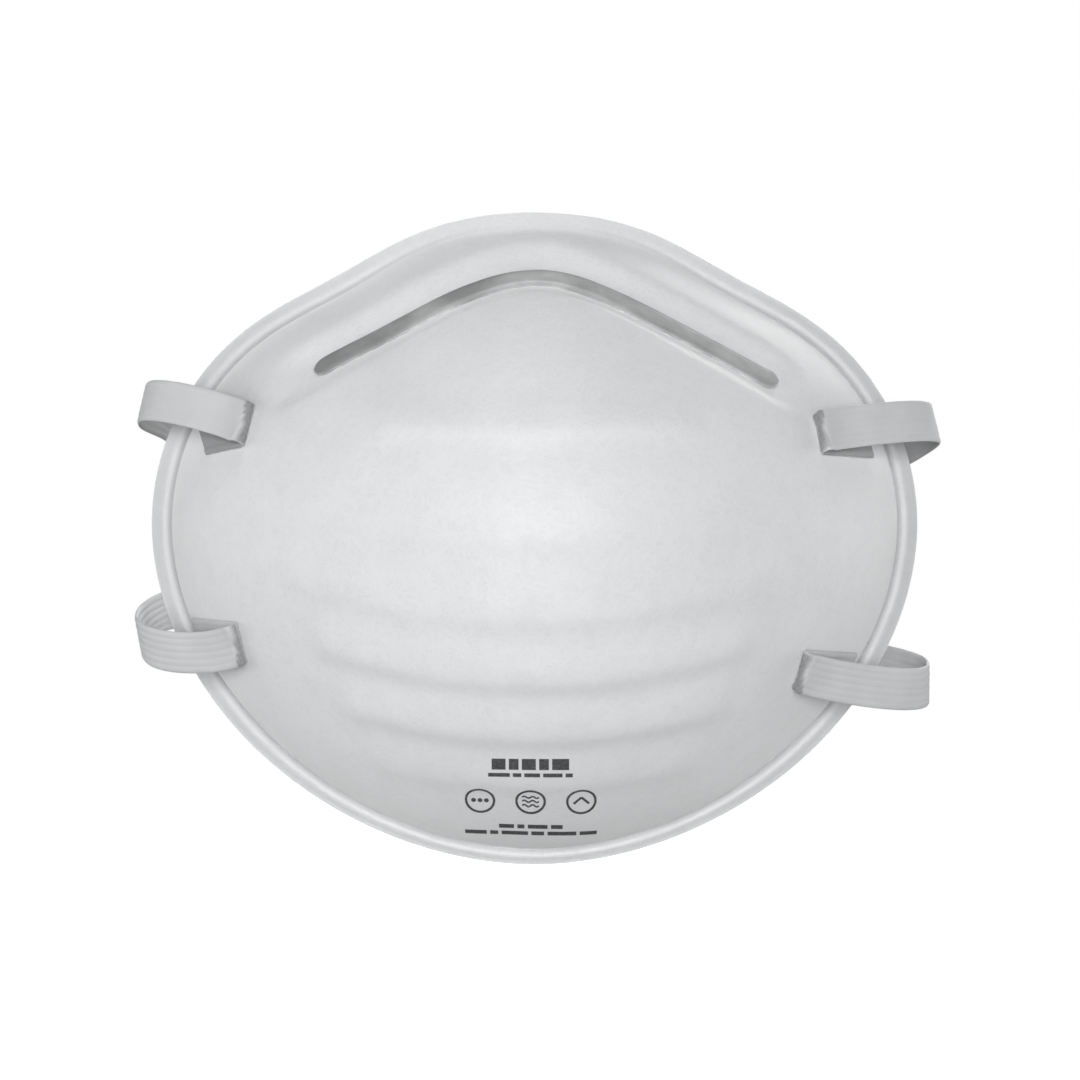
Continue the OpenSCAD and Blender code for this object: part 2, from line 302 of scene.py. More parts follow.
def skin_rings(depth, cup_count, around):
    """Rings of one skin, pole first. Every skin has the same rings beside the groove, so they stay apart."""
    a = np.arange(around) * 2 * math.pi / around
    side = np.linspace(SIDE_FROM, 1, SIDE_RINGS + 1)[1:]
    s = np.concatenate([np.arange(1, cup_count + 1) / cup_count * SIDE_FROM, side])
    f = np.arange(1, BAND_RINGS + 1) / BAND_RINGS
    rings = np.concatenate([cup(s[:, None], a[None], depth), flange(f[:, None], a[None], depth)])
    groove = cup_count + SIDE_RINGS
    rings = soften(rings, groove, *NOSE_SOFT, nose(a)[None, :, None])
    return soften(rings, groove, *GROOVE_SOFT)


def layer(name, depth, thick, cup_count, around, slot, material, trim=0.0):
    """A closed moulded web between two depths. trim draws its cut edge in."""
    sides = []
    for d in (depth, depth + thick):
        rings = skin_rings(d, cup_count, around)
        outward = unit(rings[-1] * [1, 0, 1])
        rings[-1] -= outward * trim
        sides.append(np.concatenate([cup(0, 0, d)[None], rings.reshape(-1, 3)]))
    count, total = len(sides[0]), cup_count + SIDE_RINGS + BAND_RINGS

    def at(j, i):
        return 1 + j * around + i % around

    front = [(0, at(0, i), at(0, i + 1)) for i in range(around)]
    for j in range(total - 1):
        front += [(at(j, i), at(j + 1, i), at(j + 1, i + 1), at(j, i + 1)) for i in range(around)]
    back = [tuple(v + count for v in reversed(f)) for f in front]
    j = total - 1
    edge = [(at(j, i), at(j, i) + count, at(j, i + 1) + count, at(j, i + 1)) for i in range(around)]
    obj = make_mesh(name, np.concatenate(sides), front + back + edge, "mask", material)
    sharpen(obj, 50)
    return obj


WELD_SHADE_SPREAD = 2.2  # rings over which the painted groove shade and the weld's tone fade beside the groove
WELD_SHADE_CHIN_LOSS, WELD_SHADE_ON_BAND = 0.7, 0.35


def groove_shade_marks(cup_count, around):
    """How much painted shade, with the weld's own greyer tone, each vertex of a layer takes: most in the
    groove, a little on the band.
    """
    a = np.arange(around) * 2 * math.pi / around
    j = np.arange(1, cup_count + SIDE_RINGS + BAND_RINGS + 1)[:, None]
    past = j - (cup_count + SIDE_RINGS)
    plain = (1 - nose(a)) * (1 - WELD_SHADE_CHIN_LOSS * near_angle(a, -90, CHIN_SPREAD))
    band = WELD_SHADE_ON_BAND * np.cos(a) ** 2 * (past > 0)
    front = np.maximum(bump((past - 1) / WELD_SHADE_SPREAD) * plain, band)
    side = np.concatenate([[0.0], front.ravel()])
    return np.concatenate([side, np.zeros_like(side)])


def loft_faces(n, rings, base=0):
    """Faces of a closed solid through rings of n points. base is the number of its first point."""
    faces = []
    for j in range(rings - 1):
        low, high = base + j * n, base + (j + 1) * n
        faces += [(low + i, high + i, high + (i + 1) % n, low + (i + 1) % n) for i in range(n)]
    last = base + (rings - 1) * n
    return faces + [tuple(base + i for i in range(n)), tuple(last + i for i in reversed(range(n)))]


def loft(name, sections, body, material):
    """A solid through equal rings of points, each an (n, 3) array."""
    faces = loft_faces(len(sections[0]), len(sections))
    return make_mesh(name, np.concatenate(sections), faces, body, material)


def through(points, spacing):
    """A smooth, evenly spaced line through given points, and where along them each of its points lies."""
    finer = 4
    p = np.asarray(points, float)
    gap = np.linalg.norm(np.diff(p, axis=0), axis=1)
    t = np.concatenate([[0], np.cumsum(gap)])
    slope = np.gradient(p, t, axis=0)
    fine_t = np.linspace(0, t[-1], int(t[-1] / spacing * finer))
    k = np.clip(np.searchsorted(t, fine_t, side="right") - 1, 0, len(gap) - 1)
    h = gap[k][:, None]
    u = ((fine_t - t[k]) / gap[k])[:, None]
    line = (
        (2 * u**3 - 3 * u**2 + 1) * p[k]
        + (u**3 - 2 * u**2 + u) * h * slope[k]
        + (3 * u**2 - 2 * u**3) * p[k + 1]
        + (u**3 - u**2) * h * slope[k + 1]
    )
    run = np.concatenate([[0], np.cumsum(np.linalg.norm(np.diff(line, axis=0), axis=1))])
    even = np.linspace(0, run[-1], int(run[-1] / spacing) + 1)
    at = np.interp(even, run, fine_t)
    spaced = np.stack([np.interp(even, run, line[:, c]) for c in range(3)], 1)
    return spaced, np.interp(at, t, np.arange(len(t)))


# ---------------------------------------------------------------- materials


class Paint:
    """A node material in the making."""

    def __init__(self, name, **settings):
        self.material = bpy.data.materials.new(name)
        self.material.use_nodes = True
        self.nodes = self.material.node_tree.nodes
        self.shader = self.nodes["Principled BSDF"]
        for key, value in settings.items():
            self.shader.inputs[key.replace("_", " ")].default_value = value
        self.place = self.add("ShaderNodeTexCoord").outputs["Object"]

    def add(self, kind, **settings):
        node = self.nodes.new(kind)
        for key, value in settings.items():
            setattr(node, key, value)
        return node

    def link(self, a, b):
        self.material.node_tree.links.new(a, b)

    def tagged(self, name):
        """A number that the mesh holds for each vertex."""
        return self.add("ShaderNodeAttribute", attribute_name=name).outputs["Fac"]

    def noise(self, scale, detail, roughness, stretch=None, turn=0.0, distortion=0.0, place=None):
        """Noise, drawn out by stretch along X, Y and Z after it is turned about Y."""
        place = self.place if place is None else place
        if stretch:
            mapping = self.add("ShaderNodeMapping", vector_type="TEXTURE")
            mapping.inputs["Rotation"].default_value = (0.0, turn, 0.0)
            mapping.inputs["Scale"].default_value = stretch
            self.link(place, mapping.inputs["Vector"])
            place = mapping.outputs["Vector"]
        node = self.add("ShaderNodeTexNoise")
        settings = {"Scale": scale, "Detail": detail, "Roughness": roughness, "Distortion": distortion}
        for key, value in settings.items():
            node.inputs[key].default_value = value
        self.link(place, node.inputs["Vector"])
        return node.outputs["Fac"]

    def ramp(self, value, low, high, dark, light):
        node = self.add("ShaderNodeValToRGB")
        first, second = node.color_ramp.elements
        first.position, second.position = low, high
        first.color, second.color = (*dark, 1.0), (*light, 1.0)
        self.link(value, node.inputs["Fac"])
        return node.outputs["Color"]

    def math(self, operation, a, b=0.0):
        node = self.add("ShaderNodeMath", operation=operation)
        for slot, value in zip(node.inputs, (a, b)):
            if isinstance(value, (int, float)):
                slot.default_value = value
            else:
                self.link(value, slot)
        return node.outputs["Value"]

    def mix(self, share, a, b):
        node = self.add("ShaderNodeMix", data_type="RGBA")
        for slot, value in ((0, share), (6, a), (7, b)):
            self.link(value, node.inputs[slot])
        return node.outputs[2]

    def bump(self, height, distance, strength=1.0, after=None):
        node = self.add("ShaderNodeBump")
        node.inputs["Strength"].default_value = strength
        node.inputs["Distance"].default_value = distance
        self.link(height, node.inputs["Height"])
        if after is not None:
            self.link(after, node.inputs["Normal"])
        return node.outputs["Normal"]

    def colour(self, socket):
        self.link(socket, self.shader.inputs["Base Color"])

    def normal(self, socket):
        self.link(socket, self.shader.inputs["Normal"])


def fibre_web(name, light, dark, relief_mm=0.03, rough=0.85, sheen=0.15, pressed=None):
    """A non-woven web: long fibres lying all ways, a fine grain and faint cloudy patches.

    Its last argument is its tone in the weld's groove: painted shade there, with the weld's own greyer tone,
    as far as the mesh's tag of that name says."""
    p = Paint(name, Roughness=rough, Sheen_Weight=sheen, Sheen_Roughness=0.6)
    clouds = p.noise(140, 3, 0.5)
    grain = p.noise(2600, 3, 0.7)
    fibres = None
    for turn in (0.25, 1.3, 2.35):
        streaks = p.noise(900, 2, 0.5, (6.0, 2.0, 1.0), turn, 0.8)
        off_middle = p.math("ABSOLUTE", p.math("SUBTRACT", streaks, 0.5))
        lines = p.math("POWER", p.math("SUBTRACT", 1.0, off_middle), 14)
        fibres = lines if fibres is None else p.math("MAXIMUM", fibres, lines)
    mixed = p.math("ADD", p.math("MULTIPLY", clouds, 0.55), p.math("MULTIPLY", fibres, 0.45))
    tone = p.ramp(mixed, 0.35, 0.75, dark, light)
    # The groove tone is painted shade in the weld's groove, with the weld's own greyer tone.
    if pressed:
        weld_shade_tone = p.ramp(grain, 0.3, 0.7, tuple(0.9 * c for c in pressed), pressed)
        tone = p.mix(p.tagged("pressed"), tone, weld_shade_tone)
    p.colour(tone)
    p.normal(p.bump(grain, relief_mm * MM, 0.5, p.bump(fibres, relief_mm * MM)))
    return p.material


def strap_material():
    """Knitted elastic: fine weft lines across the ribs, a slight sheen, painted shade on its back and painted
    shade along its folds.
    """
    p = Paint("elastic_knit", Roughness=0.6, Sheen_Weight=0.15, Sheen_Roughness=0.5)
    stagger = p.math("SINE", p.math("MULTIPLY", p.tagged("across_mm"), 5.2))
    weft = p.math("SINE", p.math("ADD", p.math("MULTIPLY", p.tagged("along_mm"), 14.0), stagger))
    grain = p.noise(1800, 3, 0.6)
    patch = p.noise(110, 2, 0.5)
    tone = p.math("ADD", p.math("MULTIPLY", patch, 0.75), p.math("MULTIPLY", grain, 0.15))
    tone = p.math("ADD", tone, p.math("MULTIPLY", weft, 0.02))
    front = p.ramp(tone, 0.3, 0.65, (0.62, 0.63, 0.64), (0.69, 0.70, 0.71))
    # The back's darker grey is painted shade.
    behind = p.ramp(tone, 0.3, 0.65, (0.30, 0.305, 0.31), (0.37, 0.375, 0.38))
    # Painted shade in a line along each fold.
    fold_shade_tone = p.ramp(grain, 0.3, 0.7, (0.24, 0.245, 0.25), (0.34, 0.345, 0.35))
    p.colour(p.mix(p.tagged("crease"), p.mix(p.tagged("back_shade"), front, behind), fold_shade_tone))
    p.normal(p.bump(grain, 0.02 * MM, 0.4, p.bump(weft, 0.03 * MM, 0.5)))
    return p.material


def clip_material():
    """Rolled aluminium strip, dull, with drawn lines along it and cloudy light and dark patches."""
    p = Paint("rolled_aluminium", Metallic=0.3, Roughness=0.45)
    on_strip = p.add("ShaderNodeCombineXYZ")
    p.link(p.math("MULTIPLY", p.tagged("along_mm"), 0.08), on_strip.inputs["X"])
    p.link(p.math("MULTIPLY", p.tagged("across_mm"), 6.0), on_strip.inputs["Y"])
    lines = p.noise(2.0, 5.0, 0.7, place=on_strip.outputs["Vector"])
    patches = p.noise(75, 2, 0.5)
    marks = p.noise(500, 4, 0.65)
    tone = p.math("ADD", p.math("MULTIPLY", lines, 0.2), p.math("MULTIPLY", marks, 0.15))
    tone = p.math("ADD", tone, p.math("MULTIPLY", patches, 0.65))
    p.colour(p.ramp(tone, 0.40, 0.62, (0.38, 0.385, 0.39), (0.68, 0.685, 0.69)))
    p.normal(p.bump(lines, 0.02 * MM, 0.5))
    return p.material


def foam_material():
    """Open-cell foam: round cells with thin walls."""
    p = Paint("cell_foam", Roughness=0.9)
    cells = p.add("ShaderNodeTexVoronoi", feature="F1")
    cells.inputs["Scale"].default_value = 1500
    p.link(p.place, cells.inputs["Vector"])
    coarse = p.noise(500, 3, 0.6)
    p.colour(p.ramp(cells.outputs["Distance"], 0.15, 0.75, (0.50, 0.51, 0.52), (0.74, 0.75, 0.76)))
    p.normal(p.bump(cells.outputs["Distance"], 0.25 * MM, 0.8, p.bump(coarse, 0.15 * MM, 0.5)))
    return p.material


def glue_material(name, tint, rough):
    """Adhesive with a thin gloss, a little uneven in its tone and its skin."""
    p = Paint(name, Roughness=rough, Coat_Weight=0.3)
    p.colour(p.ramp(p.noise(300, 3, 0.5), 0.3, 0.7, tuple(0.85 * c for c in tint), tint))
    p.normal(p.bump(p.noise(600, 2, 0.5), 0.05 * MM, 0.6))
    return p.material


def ink_material():
    """Dark pad-printed ink that has not taken quite evenly on the fibres."""
    p = Paint("print_ink", Roughness=0.7)
    p.colour(p.ramp(p.noise(2200, 3, 0.7), 0.3, 0.75, (0.03, 0.032, 0.035), (0.13, 0.135, 0.14)))
    p.normal(p.bump(p.noise(2600, 3, 0.7), 0.03 * MM, 0.5))
    return p.material


# The cover's dark groove tone is painted shade, with the weld's own greyer tone.
cover_paint = fibre_web(
    "cover_web", (0.80, 0.81, 0.82), (0.75, 0.76, 0.77), rough=0.5, sheen=0.5, pressed=(0.42, 0.43, 0.44)
)
inner_paint = fibre_web("lining_web", (0.82, 0.82, 0.82), (0.74, 0.745, 0.75), 0.05)
filter_paint = fibre_web("filter_web", (0.80, 0.80, 0.78), (0.72, 0.72, 0.70))
support_paint = fibre_web("support_web", (0.76, 0.77, 0.77), (0.66, 0.67, 0.67), 0.06)
elastic_paint = strap_material()
clip_paint = clip_material()
foam_paint = foam_material()
glue_paint = glue_material("hot_melt", (0.74, 0.735, 0.71), 0.45)
tape_paint = glue_material("foam_tape_film", (0.80, 0.80, 0.79), 0.5)
ink_paint = ink_material()

# ---------------------------------------------------------------- the camera

CAMERA_FAR = 0.40  # from the rim to the camera
VIEW_WIDTH = 0.1964  # what the picture spans at the rim
VIEW_X, VIEW_Z = 0.001, 0.0001  # the middle of the picture
SENSOR = 36.0
camera = bpy.data.objects.new("camera", bpy.data.cameras.new("camera"))
bpy.context.scene.collection.objects.link(camera)
camera.data.sensor_width = SENSOR
camera.data.lens = SENSOR * CAMERA_FAR / VIEW_WIDTH
camera.location = (VIEW_X, -CAMERA_FAR, VIEW_Z)
camera.rotation_euler = (math.pi / 2, 0.0, 0.0)
bpy.context.scene.camera = camera

# ---------------------------------------------------------------- the moulded layers

COVER_MESH, INNER_MESH, LINING_MESH = (96, 360), (36, 240), (84, 320)  # rings up the cup, points round each
FILTER_TRIM, SUPPORT_TRIM, LINING_TRIM = 0.12, 0.05, 0.1

cover = layer("outer_cover_web", 0, COVER_T, *COVER_MESH, "cover_web", cover_paint)
# Painted shade, with the weld's greyer tone, most in the groove between cup and band.
tag_one(cover, "pressed", groove_shade_marks(*COVER_MESH))
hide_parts("outer_cover")
filter_web = layer("filter_web", COVER_T, FILTER_T, *INNER_MESH, "filter_web", filter_paint, FILTER_TRIM)
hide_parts("filter_media")
support_at = COVER_T + FILTER_T
support = layer("support_web", support_at, SUPPORT_T, *INNER_MESH, "support_web", support_paint, SUPPORT_TRIM)
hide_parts("support_shell")
lining_at = WALL_T - LINING_T
lining = layer("lining_web", lining_at, LINING_T, *LINING_MESH, "lining_web", inner_paint, LINING_TRIM)
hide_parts("inner_lining")

# ---------------------------------------------------------------- nose clip and its adhesive


def strip_frames(xs):
    """Centre, across and outward directions of the clip's seat at each x."""
    z = clip_line(xs)
    centre, out = on_cup(xs, z), normal_at(xs, z)
    along = unit(np.gradient(centre, axis=0))
    across = unit(np.cross(out, along))
    return centre, across, unit(np.cross(along, across))


def strip(frames, section, halves):
    """Rings along the seat. The section is in shares of the half width across, and in mm outwards."""
    return [c + w * section[:, :1] * b + section[:, 1:] * o for c, b, o, w in zip(*frames, halves)]


CLIP_STEPS = 220
LEAST_END = 0.02  # squared share of the width that is left at a rounded end
CLIP_SECTION = np.array([
    (-1, -0.1), (-1, 0.45), (-0.93, 0.6), (-0.5, 0.66), (0, 0.68),
    (0.5, 0.66), (0.93, 0.6), (1, 0.45), (1, -0.1),
])
clip_frames = strip_frames(CLIP_SHIFT + np.linspace(-CLIP_SPAN / 2, CLIP_SPAN / 2, CLIP_STEPS))
run = np.concatenate([[0], np.cumsum(np.linalg.norm(np.diff(clip_frames[0], axis=0), axis=1))])
to_end = np.minimum(run, run[-1] - run)
half = CLIP_W / 2
rounded_end = np.sqrt(np.maximum(LEAST_END, 1 - np.clip(1 - to_end / half, 0, 1) ** 2))
rings = strip(clip_frames, CLIP_SECTION, rounded_end * half)
clip = loft("nose_clip_strip", rings, "mask", clip_paint)
tag(clip, np.repeat(run, len(CLIP_SECTION)), np.tile(CLIP_SECTION[:, 0] * half, CLIP_STEPS))
sharpen(clip, 40)
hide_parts("nose_clip")

GLUE_SHORT, GLUE_STEPS, GLUE_ROUND = 0.6, 200, 2.5
GLUE_PAST = 0.05  # how far it is squeezed out beside the clip, give or take the waves below
GLUE_SECTION = np.array([(-1, -0.2), (-0.97, 0.08), (-0.9, 0.14), (0.9, 0.14), (0.97, 0.08), (1, -0.2)])
glue_x = np.linspace(-CLIP_SPAN / 2 + GLUE_SHORT, CLIP_SPAN / 2 - GLUE_SHORT, GLUE_STEPS)
squeezed = half + GLUE_PAST + 0.12 * np.sin(glue_x * 0.9) * np.sin(glue_x * 0.37 + 1)
squeezed += 0.1 * np.sin(glue_x * 2.3)
squeezed *= np.sqrt(np.clip((glue_x[-1] - np.abs(glue_x)) / GLUE_ROUND, LEAST_END, 1))
rings = strip(strip_frames(CLIP_SHIFT + glue_x), GLUE_SECTION, squeezed)
glue = loft("clip_hot_melt", rings, "mask", glue_paint)
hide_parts("clip_adhesive")

# ---------------------------------------------------------------- nose foam and its tape


def foam_rings(near, far, squareness):
    """Rings of a strip behind the clip, between two depths, with rounded ends and edges."""
    q = np.linspace(-1, 1, FOAM_ACROSS)
    rings = []
    for x in np.linspace(-FOAM_SPAN / 2, FOAM_SPAN / 2, FOAM_STEPS):
        z = clip_line(x) + FOAM_ABOVE
        to_end = FOAM_SPAN / 2 - abs(x)
        grow = math.sqrt(max(FOAM_LEAST_END, 1 - max(0.0, 1 - to_end / FOAM_ROUND) ** 2))
        half = FOAM_W / 2 * FOAM_RISE * grow
        swell = (1 - np.abs(q) ** squareness) ** (1 / squareness) * grow
        top = on_cup(np.full_like(q, x), z + q * half, near + (far - near) * swell)
        low = on_cup(np.full_like(q, x), z + q * half, near)
        rings.append(np.concatenate([low, top[::-1][1:-1]]))
    return rings


foam_at = WALL_T + TAPE_T
pad_rings = foam_rings(foam_at, foam_at + FOAM_T, squareness=4.0)
foam = loft("nose_foam_pad", pad_rings, "mask", foam_paint)
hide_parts("nose_foam")
tape_rings = foam_rings(WALL_T - TAPE_SUNK, foam_at, squareness=30.0)
tape = loft("foam_tape_strip", tape_rings, "mask", tape_paint)
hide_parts("foam_tape")

# ---------------------------------------------------------------- straps

STRAP_W, STRAP_T = 7.5, 0.75
FOLD_R, FOLD_GAP, FOLD_STEPS = 0.75, 0.1, 13
LEAVE, ARRIVE, FREE_STEPS = 10.0, 14.0, 10  # how far it keeps straight after the fold and before it turns
WELD_STEPS = 4
FOLD_MIDDLE, FLAT_SPREAD = WELD_STEPS + FOLD_STEPS / 2, 4.0  # counted in the band's points
FLATTENED = 0.85  # share of the ribs that is pressed flat at the fold
FOLD_SHADE_FROM, FOLD_SHADE_W, FOLD_SHADE_REACH = STRAP_T / 3, 0.18, 6.0  # the line of painted shade along the fold
RIBS_ACROSS, POINTS_PER_RIB, RIB_POWER = 6, 8, 0.6  # the lower the power, the narrower the grooves
EDGE_POWER, EDGE_LEAST = 14, 0.35  # how square the edges are, and the share of the thickness left there
STRAP_STEP = 0.5
TURN_FROM_Y = 4.0
UP = np.array([0.0, 0.0, 1.0])
MIRROR = np.array([-1.0, 1.0, 1.0])


def strap_end(fold, cut, slant, lean, rise, turn, climb, tip):
    """The end of a band on the +X side: its points and width directions, the fold's tip and its direction.

    The points run from the cut end along the weld, round the fold and out over the rim to where the band
    turns back. fold, cut and turn are places in x and z. The end is cut at a slant. The crease leans
    outwards by lean in the front view, and the band leaves it with the slope rise along it. Where it turns
    back it climbs by climb and is tipped by tip."""
    lift = -(STRAP_T / 2 + FOLD_GAP)
    share = np.linspace(0, 1, WELD_STEPS + 1)
    x, z = (cut[k] + (fold[k] - cut[k]) * share for k in (0, 1))
    foot = on_cup(x, z, lift)
    start, to_cut = foot[-1], foot[0] - foot[-1]
    out = normal_at(np.array(fold[0]), np.array(fold[1]))
    crease = unit(np.array([lean, -(lean * out[0] + out[2]) / out[1], 1.0]))
    side = unit(np.cross(crease, out))
    weld_slope = -(to_cut @ crease) / (to_cut @ side)
    t = np.linspace(0, math.pi, FOLD_STEPS)[:, None]
    slope = weld_slope + (rise - weld_slope) * t / math.pi
    drift = (weld_slope + slope) / 2 * t * crease
    bend = start + FOLD_R * ((1 - np.cos(t)) * out - np.sin(t) * side + drift)
    heading = np.sin(t) * out - np.cos(t) * side + slope * crease
    spoke = -np.cos(t) * out - np.sin(t) * side
    bend_wide = unit(np.cross(spoke, heading))
    weld_wide = unit(np.cross(normal_at(x, z), to_cut))
    weld_wide[0] = unit(weld_wide[0] + slant * unit(to_cut))

    u = np.linspace(0, 1, FREE_STEPS)[1:, None]
    end = np.array([turn[0], TURN_FROM_Y, turn[1]])
    first = bend[-1] + LEAVE * unit(heading[-1])
    second = end - ARRIVE * unit(np.array([0, 1, climb]))
    free = (1 - u) ** 3 * bend[-1] + 3 * (1 - u) ** 2 * u * first + 3 * (1 - u) * u * u * second + u**3 * end
    tipped = unit(UP + np.array([tip, 0, 0]))
    free_wide = unit(bend_wide[-1] * (1 - ease(u)) + tipped * ease(u))
    points = np.concatenate([foot[:-1], bend, free])
    directions = np.concatenate([weld_wide[:-1], bend_wide, free_wide])
    return points, directions, start + FOLD_R * (out - side), -side


def fold_shade_marks(skin, folds):
    """How much of the line of painted shade along a fold each vertex of a band takes."""
    marks = np.zeros(len(skin))
    for tip, inward in folds:
        short = np.maximum(FOLD_SHADE_FROM - (skin - tip) @ inward, 0)
        near = np.linalg.norm(skin - tip, axis=1) < FOLD_SHADE_REACH
        marks = np.maximum(marks, near * bump(short / FOLD_SHADE_W))
    return marks


def elastic(name, left, right, route, rib_h, back_shade, nodes):
    """A band from weld to weld, with ribs rib_h high. The argument after rib_h is how much painted shade
    darkens its back, from 0 to 1.
    """
    left_points, left_hints, left_tip, left_inward = strap_end(**left)
    right_points, right_hints, right_tip, right_inward = strap_end(**right)
    folds = ((left_tip * MIRROR, left_inward * MIRROR), (right_tip, right_inward))
    points = np.concatenate([left_points * MIRROR, np.array(route, float), right_points[::-1]])
    hints = np.concatenate([left_hints * MIRROR, np.tile(UP, (len(route), 1)), right_hints[::-1]])
    line, place = through(points, STRAP_STEP)
    wide = unit(np.stack([np.interp(place, np.arange(len(hints)), hints[:, c]) for c in range(3)], 1))
    along = unit(np.gradient(line, axis=0))
    thick = unit(np.cross(along, wide))
    square = np.linalg.norm(np.cross(along, wide), axis=1)

    count = RIBS_ACROSS * POINTS_PER_RIB + 1
    across = np.linspace(-1, 1, count)
    rounded = (1 - np.abs(across) ** EDGE_POWER) ** (1 / 2)
    rib = np.abs(np.sin((across + 1) * math.pi * RIBS_ACROSS / 2)) ** RIB_POWER
    side = np.concatenate([across, across[::-1]])[:, None]
    to_fold = np.minimum(place, len(points) - 1 - place) - FOLD_MIDDLE
    ribbed = 1 - FLATTENED * bump(to_fold / FLAT_SPREAD)
    rings = []
    for c, w, t, q, share in zip(line, wide, thick, square, ribbed):
        height = (STRAP_T / 2 - share * rib_h * (1 - rib)) * np.maximum(rounded, EDGE_LEAST)
        rings.append(c + w / q * side * STRAP_W / 2 + t * np.concatenate([height, -height[::-1]])[:, None])
    obj = loft(name, rings, None, elastic_paint)
    run = np.arange(len(line)) * STRAP_STEP
    tag(obj, np.repeat(run, len(side)), np.tile(side[:, 0] * STRAP_W / 2, len(line)))
    # Painted shade on the band's back.
    tag_one(obj, "back_shade", np.tile(np.repeat([back_shade, 0.0], count), len(line)))
    # Painted shade along the folds.
    tag_one(obj, "crease", fold_shade_marks(np.concatenate(rings), folds))
    sharpen(obj, 60)
    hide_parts(*nodes)
    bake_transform(obj)


UPPER_ROUTE = [
    (-70, 16, 22.8), (-66.5, 28, 19.5), (-59, 41, 15.8), (-48, 54, 12.6), (-33, 65, 10), (-17, 71.5, 8.5),
    (0, 74, 8), (17, 71.5, 8.2), (33, 65, 9), (48, 54, 10.5), (59, 41, 12.5), (66.5, 28, 15), (70, 16, 17.8),
]
LOWER_ROUTE = [
    (-70, 16, -13.4), (-66.5, 28, -13.4), (-59, 41, -15.2), (-48, 54, -18), (-33, 65, -20.5),
    (-17, 71.5, -22.5), (0, 74, -23.5), (17, 71.5, -24), (33, 65, -24), (48, 54, -23.6), (59, 41, -23.4),
    (66.5, 28, -23.8), (70, 16, -24.4),
]
# The upper band's back takes the full painted shade, the lower band's a fifth.
elastic(
    "upper_elastic",
    left=dict(
        fold=(49.2, 19.4), cut=(58.5, 18.3), slant=1.05, lean=-0.17, rise=0.5,
        turn=(71.6, 24.4), climb=-0.18, tip=-0.22,
    ),
    right=dict(
        fold=(48.8, 18.1), cut=(58.6, 18.1), slant=0.0, lean=-0.09, rise=0.42,
        turn=(73.2, 21), climb=-0.1, tip=-0.24,
    ),
    route=UPPER_ROUTE, rib_h=0.06, back_shade=1.0,
    nodes=("upper_strap", "upper_strap_end_left", "upper_strap_end_right"),
)
elastic(
    "lower_elastic",
    left=dict(
        fold=(50.8, -17.4), cut=(59.8, -17.2), slant=0.0, lean=0.17, rise=-0.45,
        turn=(72.2, -16.4), climb=0.3, tip=0.18,
    ),
    right=dict(
        fold=(45.6, -22.0), cut=(55.6, -23.2), slant=0.0, lean=0.2, rise=-0.43,
        turn=(72.0, -25.6), climb=0.2, tip=0.0,
    ),
    route=LOWER_ROUTE, rib_h=0.12, back_shade=0.2,
    nodes=("lower_strap", "lower_strap_end_left", "lower_strap_end_right"),
)

# ---------------------------------------------------------------- the printed mark

INK_T, INK_SUNK = 0.05, 0.05
MARK_X = -0.6
STROKE_STEP, STROKE_FINENESS = 0.5, 0.3  # spacing of a stroke's points along and across it
LINE_HALF, WAVE_HALF = 0.2, 0.14  # half the width of a line


def stroke(points, half):
    """Sections of a flat line of ink on the cover through (x, z) points, half its width to each side."""
    p = np.asarray(points, float) + [MARK_X, 0]
    if len(p) == 2:
        steps = max(2, int(np.linalg.norm(p[-1] - p[0]) / STROKE_STEP))
        p = p[0] + (p[1] - p[0]) * np.linspace(0, 1, steps)[:, None]
    heading = unit(np.gradient(p, axis=0))
    aside = np.stack([-heading[:, 1], heading[:, 0]], 1) * half
    share = np.linspace(-1, 1, max(2, int(half / STROKE_FINENESS) + 1))
    sections = []
    for c, n in zip(p, aside):
        x, z = c[0] + n[0] * share, c[1] + n[1] * share
        sections.append(np.concatenate([on_cup(x, z, -INK_T), on_cup(x, z, INK_SUNK)[::-1]]))
    return sections


def dashes(z, half, lengths, gap):
    """A row of short flat bars, centred on the mark."""
    x = -(sum(lengths) + gap * (len(lengths) - 1)) / 2
    bars = []
    for length in lengths:
        bars.append(stroke([(x, z), (x + length, z)], half))
        x += length + gap
    return bars


def ring(x, z, radius):
    """A ring, or a dot where its radius is no more than half the line's width."""
    turn = np.linspace(0, 2 * math.pi, RING_POINTS)
    return stroke(np.stack([x + radius * np.cos(turn), z + radius * np.sin(turn)], 1), LINE_HALF)


# Rows of bars above and below the rings: height, half the bars' width, their lengths, and the gap between.
TOP_ROWS = [
    (-36.9, 0.9, (2.3, 1.6, 2.3, 1.6, 2.8), 0.55),
    (-38.7, 0.3, (3.6, 1.4, 2.6, 3.2, 1.2), 0.5),
]
LOW_ROWS = [
    (-49.4, 0.4, (2.6, 1.2, 3.4, 2.0), 0.6),
    (-50.9, 0.4, (3.8, 1.4, 4.6, 2.2, 5.0, 3.0), 0.6),
]
RING_R, RING_Z, RING_GAP, DOT_R, RING_POINTS = 2.4, -44.1, 8.6, 0.2, 49
WAVE_REACH, WAVE_H, WAVE_POINTS = 1.4, 0.22, 17
mark = [bar for row in TOP_ROWS for bar in dashes(*row)]
mark += [ring(step * RING_GAP, RING_Z, RING_R) for step in (-1, 0, 1)]
mark += [ring(spot - RING_GAP, RING_Z, DOT_R) for spot in (-1.1, 0, 1.1)]
wave = np.linspace(-1, 1, WAVE_POINTS)
for lift in (-0.9, 0, 0.9):
    wave_z = RING_Z + lift + WAVE_H * np.sin(wave * 2 * math.pi)
    mark.append(stroke(np.stack([wave * WAVE_REACH, wave_z], 1), WAVE_HALF))
